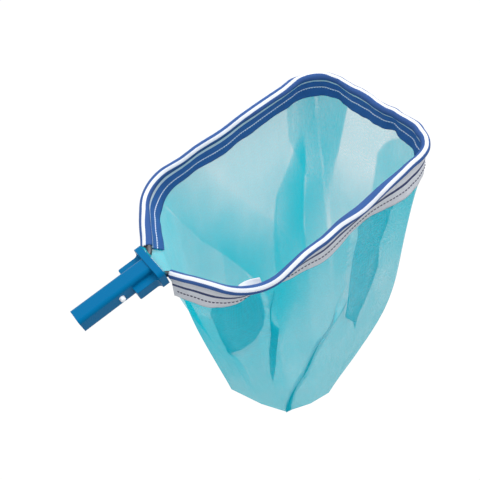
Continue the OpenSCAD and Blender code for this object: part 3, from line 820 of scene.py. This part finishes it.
def label_points():
    """A grid of points along the label, and out of its seam."""
    t = np.linspace(0, 1, LABEL_STEPS)
    share = LABEL["at"] + (t - 0.5) * LABEL["length"] / band_length
    root = on_band(share, -LEAF - 1.2, NECK + 1)
    down_axis = on_band(share, 0, LOOP) - on_band(share, 0, LOOP - 1)
    in_axis = on_band(share, -1.0, 0) - on_band(share, 0, 0)
    lift = np.radians(LABEL["lift"][0] * (1 - t) + LABEL["lift"][1] * t)[:, None]
    across_label = down_axis * np.cos(lift) + in_axis * np.sin(lift)
    rise = np.linspace(0, LABEL["width"], LABEL_ROWS)
    curl = 0.9 * np.sin(np.pi * t)[:, None] * (rise / LABEL["width"])[None, :] ** 2
    return root[:, None] + across_label[:, None] * rise[None, :, None] - down_axis[:, None] * curl[..., None]


tag_points = label_points()
tag_uv = np.stack(np.meshgrid(np.linspace(0, LABEL["width"], LABEL_ROWS),
                              np.linspace(0, LABEL["length"], LABEL_STEPS)), -1)
tag = grid_object("plain_label", tag_points, tag_uv)
solid = tag.modifiers.new("thickness", "SOLIDIFY")
solid.thickness = 0.35 * MM


# %% Label material
def label_material():
    """Satin tape: smoother than webbing, with a fine grain."""
    material, tree, shader = new_material("white_satin_tape", (0.9, 0.92, 0.94), 0.45)
    uv = cloth_uv(tree)[0]
    bumped(tree, shader, noise(tree, uv, 1500.0, 2.0), 0.2, 0.0002)
    return material


tag.data.materials.append(label_material())
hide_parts("blank_label")
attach(tag, "net_head")
print("the label stands up to z =", round(tag_points[..., 2].max(), 1), "mm")

# %% [markdown]
# ## Stitches
# One row of lockstitch closes the band: dark thread outside, pale thread
# inside. Hundreds of stitches could be copied by an array, but they repeat
# along a path, which is what Geometry Nodes do best: the path is cut into even
# steps and a short rounded thread sits on each. The sizes are named inputs.


# %% Stitch nodes
def stitch_tree():
    """A node group that sews a path of edges."""
    tree = bpy.data.node_groups.new("row_of_stitches", "GeometryNodeTree")
    face = tree.interface
    face.new_socket("Path", in_out="INPUT", socket_type="NodeSocketGeometry")
    for name in ("Pitch", "Stitch length", "Thread"):
        face.new_socket(name, in_out="INPUT", socket_type="NodeSocketFloat")
    face.new_socket("Material", in_out="INPUT", socket_type="NodeSocketMaterial")
    face.new_socket("Stitches", in_out="OUTPUT", socket_type="NodeSocketGeometry")
    make, link = tree.nodes.new, tree.links.new
    given, result = make("NodeGroupInput"), make("NodeGroupOutput")
    curve, steps = make("GeometryNodeMeshToCurve"), make("GeometryNodeCurveToPoints")
    steps.mode = "LENGTH"
    thread, put = make("GeometryNodeMeshUVSphere"), make("GeometryNodeInstanceOnPoints")
    for key, value in (("Segments", 6), ("Rings", 5), ("Radius", 0.5)):
        thread.inputs[key].default_value = value
    size = make("ShaderNodeCombineXYZ")
    real, paint = make("GeometryNodeRealizeInstances"), make("GeometryNodeSetMaterial")
    link(given.outputs["Path"], curve.inputs[0])
    link(curve.outputs[0], steps.inputs["Curve"])
    link(given.outputs["Pitch"], steps.inputs["Length"])
    link(steps.outputs["Points"], put.inputs["Points"])
    link(steps.outputs["Rotation"], put.inputs["Rotation"])
    link(thread.outputs["Mesh"], put.inputs["Instance"])
    for axis, source in zip("XYZ", ("Thread", "Thread", "Stitch length")):
        link(given.outputs[source], size.inputs[axis])
    link(size.outputs[0], put.inputs["Scale"])
    link(put.outputs[0], real.inputs[0])
    link(real.outputs[0], paint.inputs["Geometry"])
    link(given.outputs["Material"], paint.inputs["Material"])
    link(paint.outputs[0], result.inputs[0])
    return tree


STITCH_TREE = stitch_tree()
SOCKETS = {item.name: item.identifier for item in STITCH_TREE.interface.items_tree if item.in_out == "INPUT"}
print("inputs of the stitch nodes:", SOCKETS)


# %% A row of stitches
def stitch_row(name, path, material, pitch, length, thread):
    """Sews one path and returns its stitches as a plain mesh."""
    mesh = bpy.data.meshes.new(name + "_path")
    mesh.from_pydata((path * MM).tolist(), [(i, i + 1) for i in range(len(path) - 1)], [])
    guide = add(name + "_path", mesh)
    nodes = guide.modifiers.new("stitches", "NODES")
    nodes.node_group = STITCH_TREE
    for key, value in (("Pitch", pitch), ("Stitch length", length), ("Thread", thread)):
        nodes[SOCKETS[key]] = value * MM
    nodes[SOCKETS["Material"]] = material
    evaluated = guide.evaluated_get(bpy.context.evaluated_depsgraph_get())
    stitches = add(name, bpy.data.meshes.new_from_object(evaluated))
    bpy.data.objects.remove(guide)
    stitches.data.shade_smooth()
    print(name, len(stitches.data.polygons), "faces")
    return stitches


# %% The band's seam
THREAD_WIDTH, STITCH_GAP = 1.9, 1.0
dark_thread = new_material("navy_thread", (0.035, 0.035, 0.09), 0.6)[0]
pale_thread = new_material("pale_thread", (0.75, 0.82, 0.95), 0.6)[0]
fine_share = np.linspace(0.004, 0.996, 900)
# each row: its name, side, thread, pitch, and how far down the band it is sewn
SEAM_ROWS = [("outer_stitches", 1, dark_thread, 4.6, 29.5 + 0 * fine_share),
             ("inner_stitches", -1, pale_thread, 3.8, 27 - table(ROLL, fine_share, blur=0.02))]

for name, side, thread, pitch, seam_drop in SEAM_ROWS:
    sideways, downwards = sewing_waves(fine_share, seam_drop)
    lie = side * (LEAF + WEBBING_THICKNESS / 2 + 0.1) + sideways
    sewn = on_band(fine_share, lie, seam_drop + downwards)
    row = stitch_row(name, sewn, thread, pitch, pitch - STITCH_GAP, THREAD_WIDTH)
    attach(row, "net_head")

# %% [markdown]
# ## Moulded plastic
# The hard pieces keep their exact solids, so only their finish is made here.
# The yoke is glossy blue plastic with the faint ripple of a mould. Its sharp
# edges could be bevelled in the mesh, but that is a risky change to a finished
# solid. A Bevel node rounds them in the shading, as the mould rounds the real
# ones. The white buttons are the same finish in another colour.


# %% Moulded plastic
def uneven(tree, shader, pattern, roughness, least, most):
    """Roughness that changes with a pattern, between two shares of its mean."""
    worn = node(tree, "MapRange", To_Min=roughness * least, To_Max=roughness * most)
    tree.links.new(pattern, worn.inputs["Value"])
    tree.links.new(worn.outputs[0], shader.inputs["Roughness"])


def moulded(name, colour, roughness, edge, grain=0.05):
    """Plastic with a tinted shine, a faint ripple and rounded edges."""
    tint = (*[0.05 + 1.2 * c for c in colour], 1)
    material, tree, shader = new_material(name, colour, roughness,
                                          Specular_IOR_Level=0.5, Specular_Tint=tint)
    ripple = noise(tree, node(tree, "TexCoord").outputs["Object"], 140.0, 2.0)
    bevel = node(tree, "Bevel", samples=6, Radius=edge)
    bumped(tree, shader, ripple, grain, 0.0005, bevel.outputs[0])
    uneven(tree, shader, ripple, roughness, 0.8, 1.25)
    return material


def dress(node_name, material):
    """Puts one material on a ready-made piece."""
    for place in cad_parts[node_name].material_slots:
        place.material = material
    print(node_name, "is dressed in", material.name)


dress("yoke", moulded("blue_moulding", (0.0, 0.125, 0.29), 0.35, 0.0009))
for button in ("snap_button_right", "snap_button_left"):
    dress(button, moulded("white_button", (0.85, 0.87, 0.9), 0.3, 0.0004))

# %% [markdown]
# ## Metal
# The hoop is a drawn tube and the screws are plated steel. Metal has its colour
# in its reflection, which is what Metallic at 1 says. The tube's dark grey is
# painted shade: bare drawn tube is far paler, and it only looks dark in the
# shade beside the yoke. Fine noise in the roughness stands for the marks of
# drawing and turning.


# %% Metal
def metal(name, colour, roughness):
    """Bare metal with slightly uneven roughness."""
    material, tree, shader = new_material(name, colour, roughness, Metallic=1.0)
    drawn = noise(tree, node(tree, "TexCoord").outputs["Object"], 300.0, 3.0)
    uneven(tree, shader, drawn, roughness, 0.7, 1.4)
    return material


# the tube's dark grey is painted shade, far darker than its bare metal
dress("rim_hoop", metal("drawn_tube_painted_shade", (0.12, 0.12, 0.13), 0.4))
dress("hoop_screws", metal("screw_steel", (0.6, 0.6, 0.62), 0.3))

# %% [markdown]
# ## Spring
# One strip of spring steel, bent to a V, holds both buttons out. Pressing a
# button bends its arm in while the round end stays put, and a stiff strip would
# be cut by the buttons. The strip is cut through the middle of its round end,
# into one half for each arm.

# %% Spring
steel = metal("spring_steel", (0.65, 0.66, 0.68), 0.25)


def spring_half(name, side):
    """One arm of the leaf with its half of the round end, closed where it is cut."""
    shape = bmesh.new()
    shape.from_mesh(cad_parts["snap_spring"].data)
    bmesh.ops.remove_doubles(shape, verts=shape.verts, dist=1e-6)
    whole = shape.verts[:] + shape.edges[:] + shape.faces[:]
    bmesh.ops.bisect_plane(shape, geom=whole, plane_co=(0, 0, 0), plane_no=(0, -side, 0), clear_outer=True)
    bmesh.ops.holes_fill(shape, edges=[e for e in shape.edges if e.is_boundary])
    mesh = bpy.data.meshes.new(name)
    shape.to_mesh(mesh)
    shape.free()
    mesh.materials.clear()
    mesh.materials.append(steel)
    half = add(name, mesh)
    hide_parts("snap_spring")
    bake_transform(half)
    far = max(abs(v.co.y) for v in mesh.vertices) / MM
    print(name, len(mesh.polygons), "faces, out to", round(far, 1), "mm from the middle")


spring_half("spring_right_arm", -1)
spring_half("spring_left_arm", 1)

# %% [markdown]
# ## Background
# The net lies before plain white, as on a page. A white world would do that,
# but it would also flood the net with light from all sides. So the world has
# two faces. The Light Path node shows white to the eye, and everything else
# gets a soft sky that is brightest high up, over the front of the net.


# %% World
def seen(tree):
    """1 where the eye sees a surface, straight or in or through another, and 0 where it only gives light."""
    path = node(tree, "LightPath")
    straight = maths(tree, "MAXIMUM", path.outputs["Is Camera Ray"], path.outputs["Is Transmission Ray"])
    return maths(tree, "MAXIMUM", straight, path.outputs["Is Glossy Ray"])


SKY_TOP = Vector((0.35, 0.0, 0.94))
SKY_BELOW, SKY_ABOVE = 0.05, 1.48
world = bpy.data.worlds.new("studio")
bpy.context.scene.world = world
world.use_nodes = True
tree = world.node_tree
soft = tree.nodes["Background"]
soft.inputs["Color"].default_value = (0.95, 0.975, 1.0, 1)
ray = node(tree, "TexCoord")
towards_light = node(tree, "VectorMath", operation="DOT_PRODUCT")
towards_light.inputs[1].default_value = SKY_TOP
tree.links.new(ray.outputs["Generated"], towards_light.inputs[0])
level = node(tree, "MapRange", From_Min=-1, From_Max=1, To_Min=SKY_BELOW, To_Max=SKY_ABOVE)
tree.links.new(towards_light.outputs["Value"], level.inputs["Value"])
tree.links.new(level.outputs[0], soft.inputs["Strength"])
white = node(tree, "Background", Color=(1, 1, 1, 1))
sky = mixed(tree, seen(tree), soft.outputs[0], white.outputs[0])
tree.links.new(sky, tree.nodes["World Output"].inputs[0])
print("the sky is", round(SKY_ABOVE / SKY_BELOW), "times brighter above than below")

# %% [markdown]
# ## Floor
# A white floor lies a little under the net. It has to look as white as the
# background and still keep a trace of the shadow. A shadow catcher needs a
# second picture to lie over, so this floor has two faces as well: to the eye it
# nearly only glows, and for the light it is grey and throws little back up.

# %% Floor
FLOOR_GAP, FLOOR_REACH = 0.06, 6  # metres under the net, and out to each side
GLOW_SHARE = 0.97
FLOOR_Z = cad_box[0][2] - FLOOR_GAP
corners = [(x * FLOOR_REACH, y * FLOOR_REACH, FLOOR_Z) for x, y in ((-1, -1), (1, -1), (1, 1), (-1, 1))]
floor_mesh = bpy.data.meshes.new("floor")
floor_mesh.from_pydata(corners, [], [(0, 1, 2, 3)])
floor = add("floor", floor_mesh)
material, tree, shader = new_material("pale_floor", (0.3, 0.3, 0.3), 0.9)
glow = node(tree, "Emission", Strength=1.05)
lit = mixed(tree, maths(tree, "MULTIPLY", seen(tree), GLOW_SHARE), shader.outputs[0], glow.outputs[0])
tree.links.new(lit, tree.nodes["Material Output"].inputs[0])
floor_mesh.materials.append(material)
floor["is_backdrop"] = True
print("the floor lies at z =", round(FLOOR_Z / MM), "mm")

# %% [markdown]
# ## Lamp
# One large soft lamp high up gives the plastic its bright top faces and the
# folds their shadows. An area lamp of a metre has shadows with soft edges, as
# a window has. The Standard view keeps white at white, where AgX would turn it
# grey.


# %% Lamp
def lamp(name, place, towards, size, power):
    """A square area lamp at a place, turned towards another. Lengths are metres here."""
    light = bpy.data.lights.new(name, "AREA")
    light.size = size
    light.energy = power
    thing = add(name, light)
    thing.location = place
    thing.rotation_euler = (Vector(towards) - Vector(place)).to_track_quat("-Z", "Y").to_euler()
    print(name, "lamp of", power, "W")


lamp("key", (1.1, 0.2, 1.3), (0.15, 0, -0.1), 1.0, 14)
bpy.context.scene.view_settings.view_transform = "Standard"

# %% [markdown]
# ## Sizes
# The cloth may stand a little proud of the solids that it replaces, but it
# should fill the same box. How far it stands past is printed.

# %% Sizes
past = [max(low - new_low, new_high - high) for low, high, new_low, new_high in zip(*cad_box, *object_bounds())]
print("the cloth stands past the solids by up to", round(max(past) / MM, 1), "mm")
